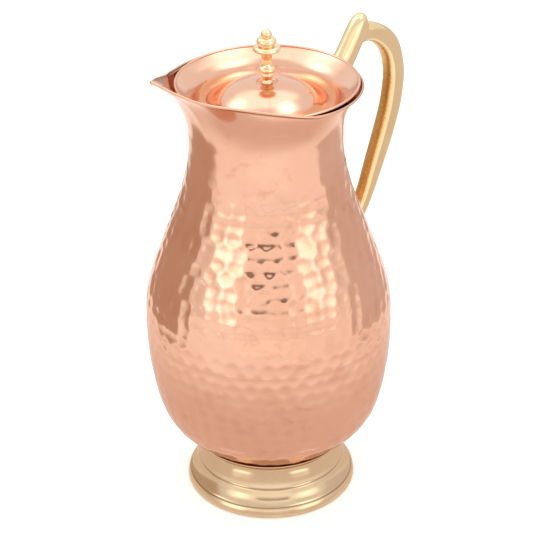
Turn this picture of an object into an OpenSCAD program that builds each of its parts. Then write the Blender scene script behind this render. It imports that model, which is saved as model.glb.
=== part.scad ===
// Hammered copper water jug with a beak spout, a lift-off lid, a cast brass
// handle and a turned brass foot.  Millimetres, +Z up, origin at the centre of
// the foot's resting plane, +X towards the handle, -X towards the spout.

/* [Body] */
// Largest radius of the belly
belly_r = 70; // [69:0.5:71]
// Height of the widest part, where the two copper halves meet
belly_z = 108; // [107:0.5:109]
// Radius of the neck at its narrowest
neck_r = 42.4; // [42:0.1:42.8]
// Height of the narrowest part of the neck
neck_z = 226; // [225:0.5:227]
// Thickness of the copper sheet
wall = 1; // [0.9:0.05:1.1]

/* [Mouth] */
// Radius of the mouth on the handle side
mouth_r = 52.6; // [52.4:0.1:53]
// Height of the mouth on the handle side
mouth_z = 251; // [250:0.5:251.5]
// Distance of the beak's tip from the axis
beak_r = 78; // [77:0.5:80]
// Height of the beak's tip
beak_z = 277; // [276:0.5:278]
// Radius of the rolled bead along the mouth
bead_r = 0.72; // [0.68:0.02:0.76]

/* [Foot] */
// Radius of the foot at the rim
foot_r = 49.2; // [48.5:0.1:50]
// Height of the lip that holds the bowl
foot_h = 32.3; // [32:0.1:32.4]

/* [Lid] */
// Radius of the lid over its rolled edge
lid_r = 50.3; // [50:0.1:50.3]
// Height of the top of the lid's rolled edge
lid_z = 254; // [253.8:0.1:254.6]
// Thickness of the lid sheet
lid_t = 0.8; // [0.7:0.05:0.9]

/* [Handle] */
// Half width of the arm below the finger rest
arm_w = 5.2; // [4.8:0.1:5.6]
// Half width of the limb at its widest
limb_w = 4.9; // [4.6:0.1:5.1]

/* [Fastenings] */
// Radius of a rivet's shank
rivet_r = 1.9; // [1.6:0.05:2.1]
// Radius of the knob screw's shank
screw_r = 1.95; // [1.8:0.05:2]

/* [Hidden] */
copper = [0.86, 0.58, 0.44];
brass = [0.82, 0.69, 0.42];
seg = 64;            // facets round the upper body

// smooth curve through hand-set points: Catmull-Rom, p = list of vectors
function cr(a, b, c, d, t) =
    0.5 * (2 * b + (c - a) * t + (2 * a - 5 * b + 4 * c - d) * t * t
           + (3 * b - a - 3 * c + d) * t * t * t);
function at(p, i) = p[max(0, min(len(p) - 1, i))];
function ext(p, i) = i < 0 ? 2 * p[0] - p[1]
                   : i > len(p) - 1 ? 2 * p[len(p) - 1] - p[len(p) - 2] : p[i];
function smooth(p, n) =
    [for (i = [0 : len(p) - 2], k = [0 : n - 1])
        cr(ext(p, i - 1), p[i], p[i + 1], ext(p, i + 2), k / n), p[len(p) - 1]];

// unit normal of a profile, to its left as it is walked
function nrm(p, i) = let (d = at(p, i + 1) - at(p, i - 1), l = norm(d)) [-d[1] / l, d[0] / l];
function inset(p, t) = [for (i = [0 : len(p) - 1]) p[i] + t * nrm(p, i)];

// ---- copper body -------------------------------------------------------
// outer profile of the lower bowl, [radius, height], walked upwards
BOWL = [[0, 25.6], [12, 25.8], [22, 26.6], [31, 28.4], [38, 30.7], [43, 33.2],
        [48.6, 37.2], [54, 42.2], [59.3, 49], [63.8, 59], [67.2, 74],
        [belly_r - 0.6, 92], [belly_r, belly_z]];
// outer profile from the belly to the narrowest part of the neck
SHOULDER = [[belly_r, belly_z], [69.1, 124], [65.4, 140], [59.6, 156], [53.7, 172],
            [48.1, 188], [44.2, 204], [neck_r + 0.1, 216], [neck_r, neck_z]];
bowl_out = smooth(BOWL, 4);
shoulder_out = smooth(SHOULDER, 2);

// the mouth, by angle from the spout: [angle, radius, height, lead-in dr, lead-in dz]
MOUTH = [[0, beak_r, beak_z, 26, 18], [5, 73.4, 272.6, 23, 15.5], [10, 69.7, 269.7, 19, 13],
         [15, 66.8, 267.4, 16, 11.6], [20, 64, 265.7, 13, 10.6], [25, 60.8, 264.1, 9.5, 9.8],
         [30, 57.7, 262.6, 5.5, 9], [36, 55.1, 260.9, 1.9, 8.2], [42, 53.9, 259.4, 0.5, 7.6],
         [50, 53.4, 257.6, 0.3, 7.1], [60, 53.2, 255.6, 0.6, 6.5], [75, 52.8, 253, 1.8, 6.2],
         [90, 52.6, 252, 3, 6], [110, 52.7, 251.5, 4.2, 5.8], [135, 53, 251.3, 5, 5.7],
         [180, mouth_r, mouth_z, 5.4, 5.5]];
// value at angle a, smooth and level at 0 and 180
ml = len(MOUTH) - 1;
function flip(r, a) = [a - r[0], r[1], r[2], r[3], r[4]];
function mrow(i) = i < 0 ? flip(MOUTH[-i], 0) : i > ml ? flip(MOUTH[2 * ml - i], 360) : MOUTH[i];
function mseg(a, i = 0) = i >= ml - 1 || a < MOUTH[i + 1][0] ? i : mseg(a, i + 1);
function slope(i) = let (p = mrow(i - 1), q = mrow(i + 1)) (q - p) / (q[0] - p[0]);
function mouth(a) = let (i = mseg(a), p = mrow(i), q = mrow(i + 1), h = q[0] - p[0], t = (a - p[0]) / h,
        m = slope(i), n = slope(i + 1))
    (2 * t * t * t - 3 * t * t + 1) * p + (t * t * t - 2 * t * t + t) * h * m
    + (3 * t * t - 2 * t * t * t) * q + (t * t * t - t * t) * h * n;
// profile of the flaring mouth at angle a from the spout
nf = 8;
function bez(p, t) = let (s = 1 - t) s * s * s * p[0] + 3 * s * s * t * p[1] + 3 * s * t * t * p[2] + t * t * t * p[3];
function flare(a) = let (m = mouth(a), r = m[1] - bead_r, z = m[2] - bead_r)
    [for (k = [1 : nf]) bez([[neck_r, neck_z], [neck_r + 0.2 + (m[1] - 52) * 0.04, neck_z + 12.5 + (m[2] - 251) * 0.1],
                            [r - m[3], z - m[4]], [r, z]], k / nf)];
// closed section of the sheet at angle a: outside upwards, round the bead, inside downwards
function sheet(a) = let (o = concat(shoulder_out, flare(a)), n = len(o),
        inn = inset(o, wall), d = nrm(o, n - 1), c = o[n - 1] + [0.2, 0.4],
        g = atan2(-d[1], -d[0]))
    concat([for (i = [0 : n - 2]) o[i]],
           [for (k = [0 : 5]) c + bead_r * [cos(g - 30 + 48 * k), sin(g - 30 + 48 * k)]],
           [for (i = [n - 2 : -1 : 1]) inn[i]], [[belly_r - wall, belly_z]]);

// the rim is beaten by hand: its one side stands a little higher beside the beak, the other lower
function lean(f, k) = k * exp(-pow((f - 60) / 22, 2));
function bias(a) = a > 180 ? 360 - a + lean(360 - a, 10) : a - lean(a, 7);
module upper_sheet() {
    sec = [for (j = [0 : seg - 1]) sheet(bias(360 * j / seg))];
    n = len(sec[0]);
    pts = [for (j = [0 : seg - 1], p = sec[j]) let (a = 180 + 360 * j / seg) [p[0] * cos(a), p[0] * sin(a), p[1]]];
    faces = [for (j = [0 : seg - 1], i = [0 : n - 1], h = [0, 1])
        let (j2 = (j + 1) % seg, i2 = (i + 1) % n)
        h == 0 ? [j * n + i, j * n + i2, j2 * n + i] : [j * n + i2, j2 * n + i2, j2 * n + i]];
    polyhedron(points = pts, faces = faces, convexity = 8);
}

// rivet axes: [x, z, tilt upwards from the handle's direction]
RIVETS_UP = [[43.3, 233, -9], [45.1, 240.5, -17]];
RIVETS_LOW = [[64.2, 144, 19], [66.7, 135.5, 15]];

module along(r) { translate([r[0], 0, r[1]]) rotate([0, 90 - r[2], 0]) children(); }

module upper_body() {
    color(copper) difference() {
        upper_sheet();
        for (r = concat(RIVETS_UP, RIVETS_LOW)) along(r)
            translate([0, 0, -8]) cylinder(r = rivet_r + 0.1, h = 14, $fn = 24);
    }
}

module lower_bowl() {
    inn = inset(bowl_out, wall);
    n = len(bowl_out);
    color(copper) rotate_extrude($fn = 96)
        polygon(concat(bowl_out, [[belly_r - wall, belly_z]],
                [for (i = [n - 2 : -1 : 1]) inn[i]], [[0, 25.6 + wall]]));
}

module belly_seam() {
    color(brass) rotate_extrude($fn = 96)
        polygon([[belly_r - wall - 0.25, belly_z - 3], [belly_r - wall - 0.18, belly_z],
                 [belly_r - wall - 0.28, belly_z + 3], [belly_r - wall - 0.8, belly_z + 1.5],
                 [belly_r - wall - 0.8, belly_z - 1.5]]);
}

// ---- brass foot ---------------------------------------------------------
FOOT_UP = [[44, foot_h], [42.7, 31.3], [41.2, 28.8], [40.6, 25.6], [40.9, 22], [41.5, 19], [42.3, 16.6]];
FOOT_LOW = [[42.6, 14.4], [43.5, 12], [44.9, 9.6], [46.4, 7.8], [47.5, 6.9]];
module foot_ring() {
    color(brass) rotate_extrude($fn = 96) polygon(concat(
        [[44.5, foot_h + 0.6], [44.6, foot_h + 0.1]], smooth(FOOT_UP, 3), [[42.1, 15.5]], smooth(FOOT_LOW, 3),
        [[47.5, 6.4], [48.1, 6], [foot_r - 0.5, 4.8], [foot_r - 0.1, 3.2], [foot_r, 1.8],
         [foot_r - 0.3, 0.6], [foot_r - 1.1, 0], [45.6, 0], [45.2, 0.6], [44.4, 3], [42, 6.4],
         [39.6, 10], [38.6, 14], [38.2, 20], [38, 26], [37.2, 29.2], [38.4, 30.5], [43, 32.9]]));
}
module foot_solder() {
    color([0.7, 0.7, 0.68]) rotate_extrude($fn = 96)
        polygon([[34, 29.2], [36.9, 30.2], [37, 28.6], [34.6, 27.6]]);
}

// ---- brass handle -------------------------------------------------------
// a bar swept in the plane y = 0; rows are [x, z, depth, half width]
LIMB = [[66, 258, 8, 4.2], [72, 260.4, 10, 4.6], [78, 260, 10.8, limb_w], [83, 257.8, 11.2, limb_w], [88, 254.4, 11.8, limb_w],
        [92.4, 250, 12.4, limb_w], [95.6, 245, 12.6, limb_w], [98, 238, 12.6, limb_w - 0.1],
        [99.3, 228.5, 13.2, limb_w - 0.1], [98.5, 219, 13.4, limb_w - 0.1], [96.6, 209, 13.6, limb_w - 0.1],
        [93.7, 200, 13.6, limb_w - 0.1], [90.1, 190.5, 13.4, limb_w - 0.1], [86.3, 181.5, 12.8, limb_w - 0.2],
        [82.3, 172, 12, limb_w - 0.3], [78.5, 163, 11, limb_w - 0.4], [74.4, 155, 10.4, limb_w - 0.3], [70, 148.4, 10, 5],
        [67.2, 142.4, 9.4, 5.8], [67, 136.4, 8.2, 6.2], [68.4, 130.4, 5.6, 5], [69.6, 126, 1.6, 1.6]];
ARM = [[41, 233.6, 12, 5.6], [47.4, 237.6, 13.4, 5.6], [53.4, 242.4, 14, 5.4], [59.3, 248.8, 14, arm_w], [64.3, 256, 13.4, arm_w],
       [68.2, 262.2, 12.6, arm_w], [70.4, 266, 11.4, 5], [71.8, 269, 9.2, 4.3], [72.8, 271.4, 5.2, 2.6], [73.1, 272.3, 1.6, 0.8]];
ns = 16;
// one section: flat towards the fingers, rounded away from them
function dsec(a) = let (c = cos(a), s = sin(a), e = c < 0 ? 0.45 : 0.9)
    [sign(c) * pow(abs(c), e), sign(s) * pow(abs(s), c < 0 ? 0.55 : 0.9)];
module bar(rows, n, side) {
    c = smooth(rows, n);
    m = len(c);
    ring = [for (i = [0 : m - 1]) let (p = at(c, i - 1), q = at(c, i + 1), l = norm([q[0] - p[0], q[1] - p[1]]),
            nx = side * (q[1] - p[1]) / l, nz = -side * (q[0] - p[0]) / l)
        [for (k = [0 : ns - 1]) let (d = dsec(360 * k / ns + 11.25))
            [c[i][0] + nx * d[0] * c[i][2] / 2, d[1] * c[i][3], c[i][1] + nz * d[0] * c[i][2] / 2]]];
    pts = concat([for (r = ring, p = r) p], [[c[0][0], 0, c[0][1]], [c[m - 1][0], 0, c[m - 1][1]]]);
    quads = [for (i = [0 : m - 2], k = [0 : ns - 1], h = [0, 1]) let (k2 = (k + 1) % ns)
        h == 0 ? [i * ns + k, i * ns + k2, (i + 1) * ns + k]
               : [i * ns + k2, (i + 1) * ns + k2, (i + 1) * ns + k]];
    ends = [for (k = [0 : ns - 1], h = [0, 1]) let (k2 = (k + 1) % ns)
        h == 0 ? [m * ns, k2, k] : [m * ns + 1, (m - 1) * ns + k, (m - 1) * ns + k2]];
    all = concat(quads, ends);
    polyhedron(points = pts, faces = side > 0 ? [for (f = all) [f[2], f[1], f[0]]] : all, convexity = 6);
}
module handle() {
    color(brass) difference() {
        union() { bar(LIMB, 2, -1); bar(ARM, 2, 1); }
        body_cut();
        for (r = concat(RIVETS_UP, RIVETS_LOW)) along(r)
            translate([0, 0, -6]) cylinder(r = rivet_r + 0.1, h = 9.2, $fn = 24);
    }
}
// the space of the body, a hair larger than the copper, that the handle's ends are cut to
module body_cut() {
    o = concat(shoulder_out, flare(180));
    n = len(o);
    rotate_extrude($fn = 72) polygon(concat([[0, o[0][1]]], [for (i = [0 : n - 2]) o[i] + [0.12, -0.02]],
        [[o[n - 1][0] + 0.6, o[n - 1][1] - 0.9], [o[n - 1][0] + 1.9, o[n - 1][1] - 0.2],
         [o[n - 1][0] + 1.9, o[n - 1][1] + 6], [0, o[n - 1][1] + 6]]));
}

// ---- fastenings ---------------------------------------------------------
module rivet(r) {
    along(r) {
        translate([0, 0, -2.3]) cylinder(r = rivet_r, h = 5.3, $fn = 24);
        translate([0, 0, -3.4]) cylinder(r = 3.2, h = 1.2, $fn = 32);
    }
}
module upper_rivets() { color(copper) for (r = RIVETS_UP) rivet(r); }
module lower_rivets() { color(copper) for (r = RIVETS_LOW) rivet(r); }
module rivet_washers() {
    color(brass) for (r = concat(RIVETS_UP, RIVETS_LOW)) along(r)
        translate([0, 0, -2.1]) difference() {
            cylinder(r = 3.6, h = 0.6, $fn = 32);
            translate([0, 0, -1]) cylinder(r = rivet_r + 0.1, h = 3, $fn = 24);
        }
}

LID_AT = [0.95, -0.5, 0];   // the loose lid lies a little off the middle of the mouth

// ---- lid ------------------------------------------------------------------
// top side of the dished lid, [radius, height], from the dimple outwards
LID = [[5.8, 252.7], [6.4, 253.3], [12, 252.6], [18, 250.8], [22, 248.7], [25.6, 245.8], [28, 243.3], [30.6, 241.5],
       [33.6, 240.8], [36.6, 241.3], [38.8, 243.2], [40.4, 245.8], [42.8, 248.2], [45.8, 250.3], [48, 251.9], [49.5, 253.2]];
module lid() {
    top = smooth(LID, 2);
    n = len(top);
    low = inset(top, -lid_t);
    c = [lid_r - 0.75, lid_z - 0.75];
    translate(LID_AT) color(copper) rotate_extrude($fn = 96) polygon(concat(
        [[screw_r + 0.25, 252.4], [5.6, 252.4]], [for (i = [0 : n - 2]) top[i]],
        [for (k = [0 : 6]) c + 0.75 * [cos(170 - 42 * k), sin(170 - 42 * k)]],
        [for (i = [n - 2 : -1 : 2]) low[i]], [[6.4, 252.4 - lid_t], [screw_r + 0.25, 252.4 - lid_t]]));
}

// turned finial on the lid, heights above the lid's dimple
KNOB = [[2.25, 2.8], [2.4, 3.4], [3.1, 3.9], [3.6, 4.9], [3.2, 5.9], [3.1, 6.3],
        [4.1, 6.8], [4.5, 8], [4, 9.2], [3.2, 9.9], [2.7, 11.4], [2.6, 13], [2.7, 14.8], [3.3, 16.9],
        [5.6, 18.2], [7.3, 19.2], [7.5, 20.2], [6.9, 21.4], [5, 22], [4.4, 22.4],
        [5.1, 23.2], [5.4, 24.4], [4.6, 26], [3, 26.6], [2.4, 26.9], [2.9, 27.8], [2.8, 29.2], [1.8, 30.3], [0, 30.8]];
module lid_knob() {
    color(brass) translate(LID_AT + [0, 0, 252.42]) difference() {
        rotate_extrude($fn = 48) polygon(concat([[0, 0], [3.1, 0], [3.2, 0.7], [2.5, 1.6]], smooth(KNOB, 2)));
        translate([0, 0, -1]) cylinder(r = 1.6, h = 8, $fn = 24);
    }
}
module knob_screw() {
    color(brass) translate(LID_AT + [0, 0, 252.42]) {
        translate([0, 0, -4.4]) cylinder(r = 3.6, h = 2.4, $fn = 32);
        translate([0, 0, -2]) cylinder(r = screw_r - 0.4, h = 7.5, $fn = 24);
    }
}
module knob_washer() {
    color(brass) translate(LID_AT + [0, 0, 252.42 - 2]) difference() {
        cylinder(r = 5.4, h = 1.1, $fn = 48);
        translate([0, 0, -1]) cylinder(r = screw_r, h = 3, $fn = 24);
    }
}

upper_body();
lower_bowl();
belly_seam();
foot_ring();
foot_solder();
handle();
upper_rivets();
lower_rivets();
rivet_washers();
lid();
lid_knob();
knob_screw();
knob_washer();
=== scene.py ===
import bpy, math
import numpy as np
from mathutils import Matrix, Vector


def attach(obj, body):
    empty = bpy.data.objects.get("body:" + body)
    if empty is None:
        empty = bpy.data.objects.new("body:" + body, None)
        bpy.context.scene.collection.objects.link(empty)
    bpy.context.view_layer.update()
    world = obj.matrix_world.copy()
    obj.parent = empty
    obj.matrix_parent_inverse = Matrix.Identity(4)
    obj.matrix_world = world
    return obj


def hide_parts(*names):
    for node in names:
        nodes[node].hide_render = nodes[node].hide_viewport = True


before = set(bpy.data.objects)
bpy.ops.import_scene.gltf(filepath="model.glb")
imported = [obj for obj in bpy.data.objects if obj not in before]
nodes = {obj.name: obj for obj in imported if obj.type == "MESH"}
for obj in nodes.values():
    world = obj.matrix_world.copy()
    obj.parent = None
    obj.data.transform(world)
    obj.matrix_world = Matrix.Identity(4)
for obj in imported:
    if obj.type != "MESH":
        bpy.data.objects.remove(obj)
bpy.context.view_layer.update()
scene = bpy.context.scene
rnd = np.random.RandomState(11)


# ---------------------------------------------------------------- curves
def catmull(p, n):
    """Smooth curve through the rows of p, n steps a span, as the CAD draws it."""
    p = np.asarray(p, float)
    a = np.vstack([2 * p[0] - p[1], p, 2 * p[-1] - p[-2]])
    out = []
    for i in range(len(p) - 1):
        p0, p1, p2, p3 = a[i], a[i + 1], a[i + 2], a[i + 3]
        for k in range(n):
            t = k / n
            out.append(0.5 * (2 * p1 + (p2 - p0) * t + (2 * p0 - 5 * p1 + 4 * p2 - p3) * t * t
                              + (3 * p1 - p0 - 3 * p2 + p3) * t ** 3))
    out.append(p[-1])
    return np.array(out)


def arc(p):
    return np.concatenate([[0], np.cumsum(np.linalg.norm(np.diff(p[:, :2], axis=0), axis=1))])


def resample(p, step):
    s = arc(p)
    n = max(2, int(round(s[-1] / step)) + 1)
    t = np.linspace(0, s[-1], n)
    return np.stack([np.interp(t, s, p[:, k]) for k in range(p.shape[1])], 1)


def left_normals(p):
    d = np.empty_like(p)
    d[1:-1] = p[2:] - p[:-2]
    d[0], d[-1] = p[1] - p[0], p[-1] - p[-2]
    d /= np.linalg.norm(d, axis=1)[:, None]
    return np.stack([-d[:, 1], d[:, 0]], 1)


def sstep(a, b, x):
    t = np.clip((np.asarray(x, float) - a) / (b - a), 0, 1)
    return t * t * (3 - 2 * t)


# ---------------------------------------------------------------- meshes
def make(name, verts, faces, body, mat, attrs=None, replaces=None, smooth=True, sharp=42):
    me = bpy.data.meshes.new(name)
    me.from_pydata((np.asarray(verts) * 0.001).tolist(), [], faces)
    me.update()
    if smooth:
        me.polygons.foreach_set("use_smooth", [True] * len(me.polygons))
        me.set_sharp_from_angle(angle=math.radians(sharp))
    for k, v in (attrs or {}).items():
        at = me.attributes.new(k, "FLOAT", "POINT")
        at.data.foreach_set("value", np.asarray(v, np.float32).ravel())
    me.materials.append(mat)
    ob = bpy.data.objects.new(name, me)
    scene.collection.objects.link(ob)
    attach(ob, body)
    if replaces:
        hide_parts(replaces)
    return ob


def ring_faces(rows, cols, first=0, closed=False):
    """Quads of a grid that wraps round in its columns; rows run outwards or upwards."""
    j = np.arange(cols)
    j2 = (j + 1) % cols
    out = []
    for i in range(rows if closed else rows - 1):
        a, b = first + i * cols, first + ((i + 1) % rows) * cols
        out.append(np.stack([a + j, a + j2, b + j2, b + j], 1))
    return np.concatenate(out).tolist()


def revolve(prof, cols, closed=True, wob=None):
    """A closed or pole-ended profile [r, z] turned round Z. Counter-clockwise profiles face outwards."""
    prof = np.asarray(prof, float)
    th = 2 * math.pi * np.arange(cols) / cols
    keep = prof[:, 0] > 1e-6
    ringp = prof[keep]
    v = np.stack([ringp[:, :1] * np.cos(th), ringp[:, :1] * np.sin(th), np.repeat(ringp[:, 1:2], cols, 1)], 2)
    v = v.reshape(-1, 3)
    f = ring_faces(len(ringp), cols, closed=closed and keep.all())
    if not keep[0]:
        v = np.vstack([v, [0, 0, prof[0, 1]]])
        c = len(v) - 1
        f += [[c, (j + 1) % cols, j] for j in range(cols)]
    if not keep[-1]:
        v = np.vstack([v, [0, 0, prof[-1, 1]]])
        c = len(v) - 1
        o = (len(ringp) - 1) * cols
        f += [[c, o + j, o + (j + 1) % cols] for j in range(cols)]
    return v, f


def smooth_mesh(v, f, times, weight=None, lam=0.5):
    """Even out vertices by their neighbours, weighted per vertex."""
    e = set()
    for q in f:
        for a, b in zip(q, q[1:] + q[:1]):
            e.add((a, b) if a < b else (b, a))
    e = np.array(sorted(e))
    deg = np.bincount(e.ravel(), minlength=len(v)).astype(float)[:, None]
    w = lam if weight is None else lam * np.asarray(weight)[:, None]
    for _ in range(times):
        s = np.zeros_like(v)
        for k in range(3):
            s[:, k] = np.bincount(e[:, 0], v[e[:, 1], k], len(v)) + np.bincount(e[:, 1], v[e[:, 0], k], len(v))
        v = v + w * (s / deg - v)
    return v


# ---------------------------------------------------------------- materials
def noise(nt, vec, scale, detail=3.0, rough=0.5, dist=0.0):
    n = nt.nodes.new("ShaderNodeTexNoise")
    n.inputs["Scale"].default_value = scale
    n.inputs["Detail"].default_value = detail
    n.inputs["Roughness"].default_value = rough
    n.inputs["Distortion"].default_value = dist
    nt.links.new(vec, n.inputs["Vector"])
    return n


def mapped(nt, vec, scale, rot=(0, 0, 0)):
    m = nt.nodes.new("ShaderNodeMapping")
    m.inputs["Scale"].default_value = scale
    m.inputs["Rotation"].default_value = rot
    nt.links.new(vec, m.inputs["Vector"])
    return m.outputs["Vector"]


def rgbmix(nt, fac, a, b, blend="MIX"):
    m = nt.nodes.new("ShaderNodeMix")
    m.data_type = "RGBA"
    m.blend_type = blend
    socks = (m.inputs[0], m.inputs[6], m.inputs[7])
    for sock, val in zip(socks, (fac, a, b)):
        if isinstance(val, bpy.types.NodeSocket):
            nt.links.new(val, sock)
        elif isinstance(val, (tuple, list)):
            sock.default_value = (*val, 1) if len(val) == 3 else val
        else:
            sock.default_value = val
    return m.outputs[2]


def math_node(nt, op, a, b=None, clamp=False):
    m = nt.nodes.new("ShaderNodeMath")
    m.operation = op
    m.use_clamp = clamp
    for sock, val in zip(m.inputs, (a, b)):
        if val is None:
            continue
        if isinstance(val, bpy.types.NodeSocket):
            nt.links.new(val, sock)
        else:
            sock.default_value = val
    return m.outputs[0]


def rng(nt, val, a, b, c, d):
    m = nt.nodes.new("ShaderNodeMapRange")
    for i, x in enumerate((val, a, b, c, d)):
        if isinstance(x, bpy.types.NodeSocket):
            nt.links.new(x, m.inputs[i])
        else:
            m.inputs[i].default_value = x
    return m.outputs[0]


def attribute(nt, name):
    a = nt.nodes.new("ShaderNodeAttribute")
    a.attribute_name = name
    return a.outputs["Fac"]


def metal(name, light, dark, stain_and_shade, rough, spread, lines=0.0, grain=0.0, cav=None, stain_at=(0.62, 0.8), line_z=2600.0,
          cast=None, cloud=22.0, tint=None, deep=None):
    """Metal with clouded tone, stains, smudged gloss, turning or polishing lines and a fine grain.
    cav names a mesh attribute that is 1 in hollows, which get a mottled painted shade, and with it the 'edge' attribute
    gets a darker painted crevice shade; deep mixes in a colour by a named attribute; cast names a mesh attribute that
    is 1 on as-cast faces."""
    m = bpy.data.materials.new(name)
    m.use_nodes = True
    nt = m.node_tree
    b = nt.nodes["Principled BSDF"]
    b.inputs["Metallic"].default_value = 1.0
    if tint:
        b.inputs["Specular Tint"].default_value = (*tint, 1)
    obj = nt.nodes.new("ShaderNodeTexCoord").outputs["Object"]
    big = noise(nt, obj, cloud, 4, 0.55)
    tone = rng(nt, big.outputs["Fac"], 0.32, 0.68, 0.0, 1.0)
    col = rgbmix(nt, tone, dark, light)
    fine = noise(nt, obj, 140, 4, 0.6)
    col = rgbmix(nt, rng(nt, fine.outputs["Fac"], 0.35, 0.7, 0.0, 0.22), col, dark)
    spots = noise(nt, obj, 61, 6, 0.65, 0.6)
    st = rng(nt, spots.outputs["Fac"], stain_at[0], stain_at[1], 0.0, 0.75)
    col = rgbmix(nt, st, col, stain_and_shade)
    smudge = noise(nt, mapped(nt, obj, (1, 1, 0.55)), 48, 5, 0.62, 0.4)
    r = rng(nt, smudge.outputs["Fac"], 0.3, 0.72, rough, rough + spread)
    r = math_node(nt, "ADD", r, math_node(nt, "MULTIPLY", st, 0.12))
    height = None
    if lines:
        # lines left by the polishing wheel, round the axis
        ln = noise(nt, mapped(nt, obj, (28, 28, line_z)), 1.0, 3, 0.6)
        height = math_node(nt, "MULTIPLY", ln.outputs["Fac"], lines)
        r = math_node(nt, "ADD", r, rng(nt, ln.outputs["Fac"], 0.4, 0.75, 0.0, 0.05))
    if grain:
        g = noise(nt, obj, 1500, 3, 0.6)
        g2 = noise(nt, obj, 330, 2, 0.5)
        gg = math_node(nt, "ADD", math_node(nt, "MULTIPLY", g.outputs["Fac"], grain * 0.4),
                       math_node(nt, "MULTIPLY", g2.outputs["Fac"], grain))
        height = gg if height is None else math_node(nt, "ADD", height, gg)
    if cav:
        c = attribute(nt, cav)
        patch = noise(nt, obj, 34, 4, 0.6)
        # painted shade in the hollows: dents and grooves are mottled towards the stain colour by a noise
        hollow_shade = math_node(nt, "MULTIPLY", rng(nt, c, 0.35, 1.0, 0.0, 0.34), rng(nt, patch.outputs["Fac"], 0.42, 0.66, 0.0, 1.0))
        col = rgbmix(nt, hollow_shade, col, stain_and_shade)
        # painted crevice shade: where the 'edge' attribute is set, darker still, towards a deeper tone of the stain
        # colour
        e = attribute(nt, "edge")
        col = rgbmix(nt, e, col, tuple(x * 0.55 for x in stain_and_shade))
    # a colour mixed in by a named attribute; the lid uses it for painted reflection and a darker dimple
    if deep:
        col = rgbmix(nt, attribute(nt, deep[0]), col, deep[1])
    if cast:
        c = attribute(nt, cast[0])
        skin = noise(nt, obj, 520, 5, 0.7)
        pits = noise(nt, obj, 950, 2, 0.5)
        castcol = rgbmix(nt, rng(nt, skin.outputs["Fac"], 0.3, 0.7, 0.0, 1.0), cast[1], cast[2])
        castcol = rgbmix(nt, rng(nt, pits.outputs["Fac"], 0.64, 0.74, 0.0, 0.8), castcol, cast[3])
        col = rgbmix(nt, c, col, castcol)
        r = math_node(nt, "ADD", r, math_node(nt, "MULTIPLY", c, cast[4]))
        h = math_node(nt, "MULTIPLY", math_node(nt, "MULTIPLY", skin.outputs["Fac"], c), 4.0)
        height = h if height is None else math_node(nt, "ADD", height, h)
    nt.links.new(col, b.inputs["Base Color"])
    nt.links.new(math_node(nt, "MINIMUM", r, 0.9), b.inputs["Roughness"])
    if height is not None:
        bump = nt.nodes.new("ShaderNodeBump")
        bump.inputs["Strength"].default_value = 1.0
        bump.inputs["Distance"].default_value = 0.00005
        nt.links.new(height, bump.inputs["Height"])
        nt.links.new(bump.outputs["Normal"], b.inputs["Normal"])
    return m


# the third colour of each set is for real stains, and in the hammered and turned metal also for painted shade in
# hollows and creases
COPPER_L, COPPER_D, COPPER_S = (0.765, 0.448, 0.315), (0.71, 0.39, 0.258), (0.56, 0.26, 0.15)
BRASS_L, BRASS_D, BRASS_S = (0.86, 0.65, 0.38), (0.78, 0.55, 0.28), (0.52, 0.31, 0.12)
KNOB_L, KNOB_D = (0.90, 0.73, 0.50), (0.83, 0.63, 0.38)
FOOT_L, FOOT_D = (0.70, 0.53, 0.35), (0.61, 0.445, 0.275)
hammered = metal("copper_hammered", COPPER_L, COPPER_D, COPPER_S, 0.10, 0.08, lines=0.12, grain=0.08, stain_at=(0.58, 0.78), cav="hollow", line_z=900, tint=(0.93, 0.84, 0.79))
# the lid's deep orange paints its darker dimple and a painted reflection in its trough and along a line from the knob
spun = metal("copper_polished", (0.82, 0.50, 0.36), (0.76, 0.43, 0.29), COPPER_S, 0.11, 0.08, lines=0.22, grain=0.05, stain_at=(0.66, 0.85), deep=("dimple_dark_and_reflection", (0.76, 0.31, 0.15)))
copper_plain = metal("copper_rivets", COPPER_L, COPPER_D, COPPER_S, 0.20, 0.12, grain=0.3)
brass_polished = metal("brass_polished", KNOB_L, KNOB_D, BRASS_S, 0.06, 0.05, lines=0.10, grain=0.04, stain_at=(0.7, 0.9))
brass_turned = metal("brass_turned", FOOT_L, FOOT_D, BRASS_S, 0.13, 0.09, lines=0.35, grain=0.06, cav="hollow", stain_at=(0.66, 0.86), line_z=1900, tint=(0.88, 0.80, 0.68))
brass_cast = metal("brass_cast_handle", (0.84, 0.65, 0.385), (0.75, 0.54, 0.275), BRASS_S, 0.05, 0.05, grain=0.10, stain_at=(0.68, 0.88),
                   cast=("rough_face", (0.78, 0.50, 0.19), (0.58, 0.33, 0.10), (0.16, 0.08, 0.03), 0.22))
brass_small = metal("brass_small_parts", BRASS_L, BRASS_D, BRASS_S, 0.22, 0.12, grain=0.4)
solder = metal("solder_grey", (0.55, 0.54, 0.52), (0.42, 0.41, 0.40), (0.30, 0.28, 0.26), 0.38, 0.2, grain=1.2, cloud=80)

for nm, mt in (("belly_seam", copper_plain), ("foot_solder", solder), ("upper_rivets", copper_plain),
               ("lower_rivets", copper_plain), ("rivet_washers", brass_small), ("knob_screw", brass_small),
               ("knob_washer", brass_small)):
    o = nodes[nm]
    if not o.material_slots:
        o.data.materials.append(mt)
    for s in o.material_slots:
        s.material = mt

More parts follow.
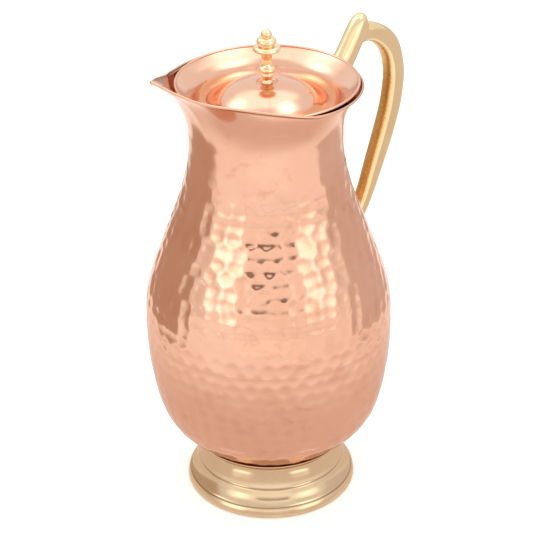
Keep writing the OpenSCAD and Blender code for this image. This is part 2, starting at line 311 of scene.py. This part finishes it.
# ---------------------------------------------------------------- the vessel
BOWL = [[0, 25.6], [12, 25.8], [22, 26.6], [31, 28.4], [38, 30.7], [43, 33.2], [48.6, 37.2], [54, 42.2], [59.3, 49],
        [63.8, 59], [67.2, 74], [69.4, 92], [70, 108]]
SHOULDER = [[70, 108], [69.1, 124], [65.4, 140], [59.6, 156], [53.7, 172], [48.1, 188], [44.2, 204], [42.5, 216],
            [42.4, 226]]
MOUTH = [[0, 78, 277, 26, 18], [5, 73.4, 272.6, 23, 15.5], [10, 69.7, 269.7, 19, 13], [15, 66.8, 267.4, 16, 11.6],
         [20, 64, 265.7, 13, 10.6], [25, 60.8, 264.1, 9.5, 9.8], [30, 57.7, 262.6, 5.5, 9], [36, 55.1, 260.9, 1.9, 8.2],
         [42, 53.9, 259.4, 0.5, 7.6], [50, 53.4, 257.6, 0.3, 7.1], [60, 53.2, 255.6, 0.6, 6.5],
         [75, 52.8, 253, 1.8, 6.2], [90, 52.6, 252, 3, 6], [110, 52.7, 251.5, 4.2, 5.8], [135, 53, 251.3, 5, 5.7],
         [180, 52.6, 251, 5.4, 5.5]]
COLS = 472
WALL, BEAD = 1.0, 0.72
LID_AT = (0.95, -0.5)
bowl_line = catmull(BOWL, 24)
shoulder_line = catmull(SHOULDER, 24)


def mouth(a):
    m = np.array(MOUTH, float)
    rows = np.vstack([[-m[1, 0], *m[1, 1:]], m, [360 - m[-2, 0], *m[-2, 1:]]])
    i = 1
    while i < len(m) - 1 and a >= rows[i + 1, 0]:
        i += 1
    p, q = rows[i], rows[i + 1]
    sl = lambda k: (rows[k + 1] - rows[k - 1]) / (rows[k + 1, 0] - rows[k - 1, 0])
    h = q[0] - p[0]
    t = (a - p[0]) / h
    first, last = sl(i), (sl(i + 1) if i + 2 < len(rows) else sl(i))
    return ((2 * t ** 3 - 3 * t ** 2 + 1) * p + (t ** 3 - 2 * t ** 2 + t) * h * first
            + (3 * t ** 2 - 2 * t ** 3) * q + (t ** 3 - t ** 2) * h * last)


def flare(a, n):
    m = mouth(a)
    r, z = m[1] - BEAD, m[2] - BEAD
    b = [np.array(x) for x in ((42.4, 226.0), (42.6 + (m[1] - 52) * .04, 238.5 + (m[2] - 251) * .1), (r - m[3], z - m[4]), (r, z))]
    t = (np.arange(1, n + 1) / n)[:, None]
    s = 1 - t
    return s ** 3 * b[0] + 3 * s * s * t * b[1] + 3 * s * t * t * b[2] + t ** 3 * b[3]


# rings of hammer blows, staggered, with a hand's unevenness
line = np.vstack([bowl_line, shoulder_line[1:]])
line_s = arc(line)
dents = []
s, k = 47.0, 0
while s < line_s[-1] - 4:
    r = np.interp(s, line_s, line[:, 0])
    n = int(round(2 * math.pi * r / 9.5))
    off = (k % 2) * 0.5 + rnd.uniform(-0.12, 0.12)
    for i in range(n):
        dents.append((s + rnd.normal(0, 0.5), 2 * math.pi * (i + off + rnd.normal(0, 0.06)) / n,
                      rnd.uniform(0.40, 0.57), rnd.uniform(2.45, 2.8)))
    s += 7.15
    k += 1
dents = np.array(dents)
dent_r = np.interp(dents[:, 0], line_s, line[:, 0])
dent_z = np.interp(dents[:, 0], line_s, line[:, 1])
dent_xyz = np.stack([dent_r * np.cos(dents[:, 1]), dent_r * np.sin(dents[:, 1]), dent_z], 1)


def wave3(p, seed, size):
    """A slow, even unevenness of about that size in mm, from a few plane waves."""
    g = np.random.RandomState(seed)
    out = np.zeros(p.shape[:-1])
    for _ in range(7):
        d = g.normal(size=3)
        d /= np.linalg.norm(d)
        out += np.sin(p @ d * 2 * math.pi / (size * g.uniform(0.7, 1.5)) + g.uniform(0, 6.28))
    return out / 7 ** 0.5


def dent_field(xyz, s_row):
    """How far the outer skin is beaten in, in mm, at points of one ring, and how hollow it is there."""
    near = np.abs(dents[:, 0] - s_row) < 9.5
    if not near.any():
        return np.zeros(len(xyz)), np.zeros(len(xyz))
    c, amp, rad = dent_xyz[near], dents[near, 2], dents[near, 3]
    # each blow is a little wider than it is high
    d2 = ((xyz[:, None, :] - c[None]) ** 2 / np.array([1.18, 1.18, 1])).sum(2)
    f = (amp * np.exp(-(d2 / (2 * rad ** 2)) ** 1.5)).sum(1)
    return f, f


theta = math.pi + 2 * math.pi * np.arange(COLS) / COLS
cosx, sinx = np.cos(theta), np.sin(theta)


def skin_rows(prof, s_of):
    """Outer and inner rings of a turned profile with the blows beaten into it."""
    nl = left_normals(prof)
    outer, inner, hol = [], [], []
    for (r, z), (nx, nz), s_row in zip(prof, nl, s_of):
        p = np.stack([r * cosx, r * sinx, np.full(COLS, z)], 1)
        f, h = dent_field(p, s_row)
        amp = sstep(228, 190, z) * (0.50 + 0.50 * sstep(78, 128, z))
        # flat under the pads of the handle
        dy, dz = np.maximum(np.abs(p[:, 1]) - 6.5, 0), max(abs(z - 138) - 15, 0)
        amp = amp * np.where(p[:, 0] > 0, sstep(0, 4, np.hypot(dy, dz)), 1)
        slow = 0.10 * wave3(p, 3, 34) * sstep(22, 60, r + 30 * (z > 100))
        d = amp * f - slow * sstep(250, 200, z)
        n = np.stack([nx * cosx, nx * sinx, np.full(COLS, nz)], 1)
        outer.append(p + n * d[:, None])
        inner.append(p + n * (WALL + 0.8 * d)[:, None])
        # how hollow each point is; the material paints shade into the dents by it
        hol.append(np.clip(f * 1.8, 0, 1) * sstep(228, 190, z))
    return np.array(outer), np.array(inner), np.array(hol)


# upper body: hammered shoulder, then the flare and its beak, the rolled rim, and the inside back down
prof = resample(shoulder_line, 0.95)
so, si, sh = skin_rows(prof, line_s[len(bowl_line) - 1] + arc(prof))
NF, NB = 30, 11
fl_o = np.zeros((NF, COLS, 3)); fl_i = np.zeros((NF, COLS, 3)); bd = np.zeros((NB, COLS, 3))
for j in range(COLS):
    a = 360.0 * j / COLS
    # the two sides of the mouth are not quite alike
    a = (360 - a + 10 * math.exp(-((300 - a) / 22) ** 2)) if a > 180 else a - 7 * math.exp(-((a - 60) / 22) ** 2)
    o = np.vstack([prof[-3:], flare(a, NF)])
    nl = left_normals(o)
    inn = o + WALL * nl
    d, c = nl[-1], o[-1] + [0.2, 0.4]
    g = math.atan2(-d[1], -d[0])
    ang = g + np.radians(-30 + 240 * np.arange(NB) / (NB - 1))
    for arr, pts in ((fl_o, o[3:]), (fl_i, inn[3:]), (bd, np.stack([c[0] + BEAD * np.cos(ang), c[1] + BEAD * np.sin(ang)], 1))):
        arr[:, j, 0], arr[:, j, 1], arr[:, j, 2] = pts[:, 0] * cosx[j], pts[:, 0] * sinx[j], pts[:, 1]
for arr in (fl_o, fl_i):
    w = 0.10 * wave3(arr, 5, 30) * np.clip(np.arange(NF) / 6, 0, 1)[:, None] * np.clip((NF - 1 - np.arange(NF)) / 6, 0, 1)[:, None]
    rr = np.hypot(arr[..., 0], arr[..., 1])[..., None]
    arr[..., :2] *= 1 + (w[..., None] / rr)
bd += 0.05 * wave3(bd, 9, 16)[..., None]
rows = np.concatenate([so, fl_o[:-1], bd, fl_i[:-1][::-2], si[::-1][::4], si[:1]])
keep_last = np.linalg.norm(rows[-1] - rows[-2], axis=1).max() > 1e-6
if not keep_last:
    rows = rows[:-1]
hol = np.zeros(rows.shape[:2])
hol[:len(so)] = sh
# painted crevice shade where the rolled bead meets the flare, outside and inside, set in the 'edge' attribute
edge = np.zeros(rows.shape[:2])
k = len(so) + len(fl_o) - 1
edge[k - 1], edge[k], edge[k + 1] = 0.45, 0.8, 0.25
edge[k + NB - 2], edge[k + NB - 1], edge[k + NB] = 0.2, 0.7, 0.35
upper = make("hammered_upper_body", rows.reshape(-1, 3), ring_faces(len(rows), COLS, closed=True), "jug", hammered,
             {"hollow": hol, "edge": edge}, "upper_body")

# lower bowl: pole at the bottom, hammered sides, and the inside
prof = resample(bowl_line, 0.95)
prof = prof[prof[:, 0] > 1.0]
bo, bi, bh = skin_rows(prof, arc(np.vstack([[0, 25.6], prof]))[1:])
low_rows = np.concatenate([bo, bi[::-1][::4]])
n0 = len(low_rows)
v = np.vstack([low_rows.reshape(-1, 3), [0, 0, 25.6], [0, 0, 26.6]])
f = ring_faces(n0, COLS)
c0, c1 = n0 * COLS, n0 * COLS + 1
f += [[c0, (j + 1) % COLS, j] for j in range(COLS)]
f += [[c1, (n0 - 1) * COLS + j, (n0 - 1) * COLS + (j + 1) % COLS] for j in range(COLS)]
hol = np.zeros((n0, COLS))
hol[:len(bo)] = bh
bowl = make("hammered_lower_bowl", v, f, "jug", hammered, {"hollow": np.concatenate([hol.ravel(), [0, 0]])}, "lower_bowl")

# ---------------------------------------------------------------- the foot
FOOT_UP = [[44, 32.3], [42.7, 31.3], [41.2, 28.8], [40.6, 25.6], [40.9, 22], [41.5, 19], [42.3, 16.6]]
FOOT_LOW = [[42.6, 14.4], [43.5, 12], [44.9, 9.6], [46.4, 7.8], [47.5, 6.9]]
foot_prof = np.vstack([[[44.5, 32.9], [44.6, 32.3]], catmull(FOOT_UP, 10), [[42.3, 15.75], [42.05, 15.5], [42.35, 15.2]],
                       catmull(FOOT_LOW, 10), [[47.55, 6.75], [47.45, 6.45], [47.65, 6.2]],
                       catmull([[48.05, 6.0], [48.6, 4.9], [49.0, 3.4], [49.2, 1.9], [48.9, 0.6], [48.1, 0.03]], 5),
                       [[46.6, 0], [45.6, 0], [45.2, 0.6]],
                       catmull([[44.4, 3], [42, 6.4], [39.6, 10], [38.6, 14], [38.2, 20], [38, 26], [37.2, 29.2]], 4),
                       [[38.4, 30.5], [43, 32.9]]])
v, f = revolve(foot_prof[::-1], 320)
# the two grooves get painted shade through the 'edge' and 'hollow' attributes
groove = np.zeros(len(v))
for gr, gz in ((42.05, 15.5), (47.5, 6.45)):
    groove = np.maximum(groove, sstep(0.55, 0.1, np.hypot(np.hypot(v[:, 0], v[:, 1]) - gr, v[:, 2] - gz)))
make("turned_foot", v, f, "jug", brass_turned, {"edge": groove * 0.9, "hollow": groove}, "foot_ring")

# ---------------------------------------------------------------- the lid
LID = [[5.8, 252.7], [6.4, 253.3], [12, 252.6], [18, 250.8], [22, 248.7], [25.6, 245.8], [28, 243.3], [30.6, 241.5],
       [33.6, 240.8], [36.6, 241.3], [38.8, 243.2], [40.4, 245.8], [42.8, 248.2], [45.8, 250.3], [48, 251.9], [49.5, 253.2]]
top = catmull(LID, 8)
low = top - 0.8 * left_normals(top)
ang = np.radians(170 - 252 * np.arange(10) / 9)
bead = np.stack([49.55 + 0.75 * np.cos(ang), 253.25 + 0.75 * np.sin(ang)], 1)
lid_prof = np.vstack([[[2.2, 252.4], [4, 252.4], [5.4, 252.4]], top[:-1], bead, low[::-1][1:-4], [[6.4, 251.6], [4, 251.6], [2.2, 251.6]]])
v, f = revolve(lid_prof[::-1], 360)
r = np.hypot(v[:, 0], v[:, 1])
v[:, 2] += 0.07 * wave3(v * [1, 1, 0], 21, 26) * sstep(6, 12, r) * sstep(49, 45, r)
# the dimple round the knob's foot is darkened to deep orange; the trough round the dome gets it too, strongest at its
# sides as the camera sees them, a painted reflection of copper in copper; and a faint dark line runs from the knob
# towards the camera, also a painted reflection
turn = np.arctan2(v[:, 1], v[:, 0]) - math.atan2(-0.7326, -0.66075)
side = sstep(0.15, 0.75, np.abs(np.sin(turn)))
dimple_dark_and_reflection = np.maximum(0.85 * sstep(6.2, 5.2, r), (0.10 + 0.85 * side) * sstep(26.2, 28, r) * sstep(40.2, 38.4, r))
dimple_dark_and_reflection = np.maximum(dimple_dark_and_reflection, 0.22 * sstep(1.1, 0.3, np.abs(r * np.sin(turn) - 1.2)) * sstep(5, 9, r) * sstep(28, 24, r) * (np.cos(turn) > 0))
v[:, :2] += LID_AT
make("spun_lid", v, f, "lid", spun, {"dimple_dark_and_reflection": dimple_dark_and_reflection}, replaces="lid")

KNOB = [[2.25, 2.8], [2.4, 3.4], [3.1, 3.9], [3.6, 4.9], [3.2, 5.9], [3.1, 6.3], [4.1, 6.8], [4.5, 8], [4, 9.2],
        [3.2, 9.9], [2.7, 11.4], [2.6, 13], [2.7, 14.8], [3.3, 16.9], [5.6, 18.2], [7.3, 19.2], [7.5, 20.2], [6.9, 21.4], [5, 22], [4.4, 22.4],
        [5.1, 23.2], [5.4, 24.4], [4.6, 26], [3, 26.6], [2.4, 26.9], [2.9, 27.8], [2.8, 29.2], [1.8, 30.3], [0, 30.8]]
knob_prof = np.vstack([[[0, 7], [1.6, 7], [1.6, 0], [2.9, 0], [3.1, 0.3], [3.1, 0.7], [2.8, 1.1], [2.4, 1.6], [2.25, 2.2]], catmull(KNOB, 8)])
knob_prof[:, 1] += 252.42
v, f = revolve(knob_prof, 128)
v[:, :2] += LID_AT
make("turned_knob", v, f, "lid", brass_polished, replaces="lid_knob")

# ---------------------------------------------------------------- the handle
LIMB = [[66, 258, 8, 4.2], [72, 260.4, 10, 4.6], [78, 260, 10.8, 4.9], [83, 257.8, 11.2, 4.9], [88, 254.4, 11.8, 4.9],
        [92.4, 250, 12.4, 4.9], [95.6, 245, 12.6, 4.9], [98, 238, 12.6, 4.8], [99.3, 228.5, 13.2, 4.8],
        [98.5, 219, 13.4, 4.8], [96.6, 209, 13.6, 4.8], [93.7, 200, 13.6, 4.8], [90.1, 190.5, 13.4, 4.8],
        [86.3, 181.5, 12.8, 4.7], [82.3, 172, 12, 4.6], [78.5, 163, 11, 4.5], [74.4, 155, 10.4, 4.6],
        [70, 148.4, 10, 5], [67.2, 142.4, 9.4, 5.8], [67, 136.4, 8.2, 6.2], [68.4, 130.4, 5.6, 5], [69.6, 126, 1.6, 1.6]]
ARM = [[41, 233.6, 12, 5.6], [47.4, 237.6, 13.4, 5.6], [53.4, 242.4, 14, 5.4], [59.3, 248.8, 14, 5.2],
       [64.3, 256, 13.4, 5.2], [68.2, 262.2, 12.6, 5.2], [70.4, 266, 11.4, 5], [71.8, 269, 9.2, 4.3],
       [72.8, 271.4, 5.2, 2.6], [73.1, 272.3, 1.6, 0.8]]


def bar(rows, side, flat, n=10, ns=56):
    c = catmull(rows, n)
    d = np.empty((len(c), 2))
    d[1:-1], d[0], d[-1] = c[2:, :2] - c[:-2, :2], c[1, :2] - c[0, :2], c[-1, :2] - c[-2, :2]
    d /= np.linalg.norm(d, axis=1)[:, None]
    nx, nz = side * d[:, 1], -side * d[:, 0]
    a = 2 * math.pi * (np.arange(ns) + 0.5) / ns
    ca, sa = np.cos(a), np.sin(a)
    e = np.where(ca < 0, flat, 0.95)
    g = np.where(ca < 0, flat + 0.1, 0.95)
    u, w = np.sign(ca) * np.abs(ca) ** e, np.sign(sa) * np.abs(sa) ** g
    p = np.stack([c[:, :1] + nx[:, None] * u * c[:, 2:3] / 2, w[None] * c[:, 3:4] * np.ones_like(c[:, :1]),
                  c[:, 1:2] + nz[:, None] * u * c[:, 2:3] / 2], 2)
    m = len(c)
    v = np.vstack([p.reshape(-1, 3), [[c[0, 0], 0, c[0, 1]], [c[-1, 0], 0, c[-1, 1]]]])
    k = np.arange(ns)
    k2 = (k + 1) % ns
    f = np.concatenate([np.stack([i * ns + k, i * ns + k2, (i + 1) * ns + k2, (i + 1) * ns + k], 1) for i in range(m - 1)]).tolist()
    f += [[m * ns, int(b), int(x)] for x, b in zip(k, k2)]
    f += [[m * ns + 1, (m - 1) * ns + int(x), (m - 1) * ns + int(b)] for x, b in zip(k, k2)]
    if side > 0:
        f = [q[::-1] for q in f]
    return v, f, c, nx, nz


v1, f1, limb_c, limb_nx, limb_nz = bar(LIMB, -1, 0.62)
v2, f2, *_ = bar(ARM, 1, 0.85)
me = bpy.data.meshes.new("bars")
me.from_pydata((np.vstack([v1, v2]) * 0.001).tolist(), [], f1 + [[i + len(v1) for i in q] for q in f2])
tmp = bpy.data.objects.new("bars", me)
scene.collection.objects.link(tmp)
bpy.context.view_layer.objects.active = tmp
tmp.select_set(True)
rm = tmp.modifiers.new("r", "REMESH")
rm.mode, rm.voxel_size, rm.use_smooth_shade = "VOXEL", 0.00048, True
dg = bpy.context.evaluated_depsgraph_get()
em = tmp.evaluated_get(dg).to_mesh()
hv = np.zeros(len(em.vertices) * 3)
em.vertices.foreach_get("co", hv)
hv = hv.reshape(-1, 3) * 1000
hf = [list(p.vertices) for p in em.polygons]
tmp.evaluated_get(dg).to_mesh_clear()
bpy.data.objects.remove(tmp)
join = np.exp(-(((hv - [69, 0, 259]) ** 2).sum(1)) / 8.5 ** 2)
hv = smooth_mesh(hv, hf, 4)
hv = smooth_mesh(hv, hf, 46, join)
# the ends lie on the copper, a little into it
ra = np.hypot(hv[:, 0], hv[:, 1])
fl = np.vstack([shoulder_line, flare(180, 40)])
rb = np.interp(hv[:, 2], fl[:, 1], fl[:, 0]) - 0.45
inside = (ra < rb) & (hv[:, 2] < 252)
hv[inside, :2] *= (rb / np.maximum(ra, 1e-6))[inside][:, None]
# the face towards the body is left as it came from the sand
q = hv[:, None, [0, 2]] - limb_c[None, :, :2]
near = (q ** 2).sum(2).argmin(1)
across = (hv[:, 0] - limb_c[near, 0]) * limb_nx[near] + (hv[:, 2] - limb_c[near, 1]) * limb_nz[near]
depth = across / (limb_c[near, 2] / 2)
edge = np.abs(hv[:, 1]) / limb_c[near, 3]
rough_face = sstep(-0.72, -0.9, depth) * sstep(0.93, 0.8, edge) * sstep(1, 6, near)
handle = make("cast_handle", hv, hf, "jug", brass_cast, {"rough_face": rough_face}, "handle")

# ---------------------------------------------------------------- camera
F = Vector((0.58442, 0.64906, -0.48701)).normalized()
R0 = Vector((0.74314, -0.66913, 0))
U0 = R0.cross(F).normalized()
roll = math.radians(-0.9)
R = (math.cos(roll) * R0 + math.sin(roll) * U0).normalized()
U = (-math.sin(roll) * R0 + math.cos(roll) * U0).normalized()
cam = bpy.data.cameras.new("camera")
cam.lens, cam.sensor_width, cam.sensor_fit = 135.15, 36.0, "HORIZONTAL"
cam.clip_start, cam.clip_end = 0.05, 20
cam_ob = bpy.data.objects.new("camera", cam)
cam_ob.matrix_world = Matrix(((R.x, U.x, -F.x, -0.66075), (R.y, U.y, -F.y, -0.73260), (R.z, U.z, -F.z, 0.68965), (0, 0, 0, 1)))
scene.collection.objects.link(cam_ob)
scene.camera = cam_ob
scene.view_settings.view_transform = "Standard"
scene.view_settings.look = "None"

# ---------------------------------------------------------------- studio
world = bpy.data.worlds.new("studio")
world.use_nodes = True
world.node_tree.nodes["Background"].inputs["Color"].default_value = (1, 1, 1, 1)
world.node_tree.nodes["Background"].inputs["Strength"].default_value = 1.05
scene.world = world


def emitter(name, colour, strength, w, h, soft):
    """A panel's face, fading out towards its edges over the last part of its width."""
    m = bpy.data.materials.new(name)
    m.use_nodes = True
    nt = m.node_tree
    nt.nodes.clear()
    e = nt.nodes.new("ShaderNodeEmission")
    e.inputs["Color"].default_value = (*colour, 1)
    e.inputs["Strength"].default_value = strength
    xyz = nt.nodes.new("ShaderNodeSeparateXYZ")
    nt.links.new(nt.nodes.new("ShaderNodeTexCoord").outputs["Object"], xyz.inputs[0])
    fade = None
    for k, size in ((0, w), (1, h)):
        r = nt.nodes.new("ShaderNodeMapRange")
        r.interpolation_type = "SMOOTHSTEP"
        nt.links.new(math_node(nt, "ABSOLUTE", xyz.outputs[k]), r.inputs[0])
        for i, x in enumerate((size / 2 * (1 - soft), size / 2, 1.0, 0.0)):
            r.inputs[i + 1].default_value = x
        fade = r.outputs[0] if fade is None else math_node(nt, "MULTIPLY", fade, r.outputs[0])
    mx = nt.nodes.new("ShaderNodeMixShader")
    nt.links.new(fade, mx.inputs[0])
    nt.links.new(nt.nodes.new("ShaderNodeBsdfTransparent").outputs[0], mx.inputs[1])
    nt.links.new(e.outputs[0], mx.inputs[2])
    nt.links.new(mx.outputs[0], nt.nodes.new("ShaderNodeOutputMaterial").inputs["Surface"])
    return m


FRONT = math.degrees(math.atan2(-0.73260, -0.66075))


def card(name, az, el, dist, w, h, colour, strength, soft=0.3, mid=(0, 0, 0.15)):
    """A flat panel of the studio, az degrees round from the camera's side (right is positive), facing the jug."""
    t = math.radians(FRONT + az)
    e = math.radians(el)
    mid = Vector(mid)
    centre = mid + dist * Vector((math.cos(t) * math.cos(e), math.sin(t) * math.cos(e), math.sin(e)))
    n = (mid - centre).normalized()
    x = Vector((-math.sin(t), math.cos(t), 0))
    y = n.cross(x).normalized()
    me = bpy.data.meshes.new(name)
    me.from_pydata([(sx * w / 2, sy * h / 2, 0) for sx, sy in ((-1, -1), (1, -1), (1, 1), (-1, 1))], [], [(0, 1, 2, 3)])
    me.materials.append(emitter(name, colour, strength, w, h, soft))
    o = bpy.data.objects.new(name, me)
    scene.collection.objects.link(o)
    o.matrix_world = Matrix(((x.x, y.x, n.x, centre.x), (x.y, y.y, n.y, centre.y), (x.z, y.z, n.z, centre.z), (0, 0, 0, 1)))
    o.visible_camera = o.visible_diffuse = o.visible_shadow = o.visible_transmission = False
    return o


# floor
me = bpy.data.meshes.new("floor")
fv, ff = revolve([[0, 0], [600, 0], [2600, 0]], 96, closed=False)
me.from_pydata((fv * 0.001).tolist(), [], ff)
floor = bpy.data.objects.new("floor", me)
floor.location.z = -0.0003
fm = bpy.data.materials.new("floor_white")
fm.use_nodes = True
fb = fm.node_tree.nodes["Principled BSDF"]
fb.inputs["Base Color"].default_value = (0.89, 0.89, 0.89, 1)
fb.inputs["Roughness"].default_value = 0.9
fb.inputs["Specular IOR Level"].default_value = 0.0
fb.inputs["Emission Color"].default_value = (1, 1, 1, 1)
fb.inputs["Emission Strength"].default_value = 0.36
me.materials.append(fm)
scene.collection.objects.link(floor)

# what the copper mirrors: bright soft boxes in front and above, darker screens beside and behind
card("front_panel", 2, 20, 1.9, 2.1, 1.5, (1.0, 0.98, 0.965), 1.32, 0.06)
card("front_low", 0, -13, 0.37, 0.46, 0.12, (1.0, 0.98, 0.96), 1.38, 0.3)
card("lens_side", 2, 20.3, 1.15, 0.98, 0.142, (1.0, 0.56, 0.42), 0.19, 0.15)
card("strip_left", -46, 14, 1.7, 1.5, 1.15, (1.0, 1.0, 1.0), 2.45, 0.9)
card("strip_right", 51, 14, 1.7, 1.6, 1.15, (1.0, 1.0, 1.0), 2.3, 0.9)
card("flag_left", -107, -1, 0.28, 0.37, 0.31, (1.0, 0.78, 0.65), 0.66, 0.25)
card("flag_right", 108, -1, 0.28, 0.355, 0.31, (1.0, 0.91, 0.90), 0.86, 0.25)
card("back_left", -152, 2, 0.45, 0.45, 0.34, (1.0, 0.95, 0.92), 0.62, 0.3)
card("back_right", 152, 2, 0.45, 0.45, 0.34, (1.0, 0.95, 0.92), 0.7, 0.3)
card("ceiling", 180, 74, 1.5, 2.3, 1.8, (1, 1, 1), 1.75, 0.4)
card("side_top_left", -106, 49, 1.5, 1.35, 1.1, (1, 1, 1), 3.0, 0.9)
card("side_top_right", 80, 62, 1.5, 1.35, 1.1, (1, 1, 1), 3.0, 0.9)
# low glints on the upper band of the foot
card("foot_glint_left", -34.6, 0, 0.066, 0.034, 0.0125, (1, 0.99, 0.95), 2.3, 0.6, (0, 0, 0.0062))
card("foot_glint_right", 33.6, 0, 0.066, 0.034, 0.0125, (1, 0.99, 0.95), 2.3, 0.6, (0, 0, 0.0062))

# the warm shade that the jug throws on the floor close round its foot, as its own polish mirrors it
me = bpy.data.meshes.new("floor_shade")
fv, ff = revolve([[55, 0], [140, 0], [250, 0], [400, 0]], 96, closed=False)
me.from_pydata((fv * 0.001).tolist(), [], ff)
sm = bpy.data.materials.new("floor_shade")
sm.use_nodes = True
nt = sm.node_tree
nt.nodes.clear()
em = nt.nodes.new("ShaderNodeEmission")
em.inputs["Color"].default_value = (1.0, 0.88, 0.83, 1)
em.inputs["Strength"].default_value = 0.96
ln = nt.nodes.new("ShaderNodeVectorMath")
ln.operation = "LENGTH"
nt.links.new(nt.nodes.new("ShaderNodeTexCoord").outputs["Object"], ln.inputs[0])
fade = nt.nodes.new("ShaderNodeMapRange")
fade.interpolation_type = "SMOOTHSTEP"
nt.links.new(ln.outputs["Value"], fade.inputs[0])
for i, x in enumerate((0.12, 0.31, 1.0, 0.0)):
    fade.inputs[i + 1].default_value = x
mx = nt.nodes.new("ShaderNodeMixShader")
nt.links.new(fade.outputs[0], mx.inputs[0])
nt.links.new(nt.nodes.new("ShaderNodeBsdfTransparent").outputs[0], mx.inputs[1])
nt.links.new(em.outputs[0], mx.inputs[2])
nt.links.new(mx.outputs[0], nt.nodes.new("ShaderNodeOutputMaterial").inputs["Surface"])
me.materials.append(sm)
o = bpy.data.objects.new("floor_shade", me)
o.location.z = 0.0004
scene.collection.objects.link(o)
o.visible_camera = o.visible_diffuse = o.visible_shadow = o.visible_transmission = False
scene.cycles.max_bounces = 14
scene.cycles.glossy_bounces = 10
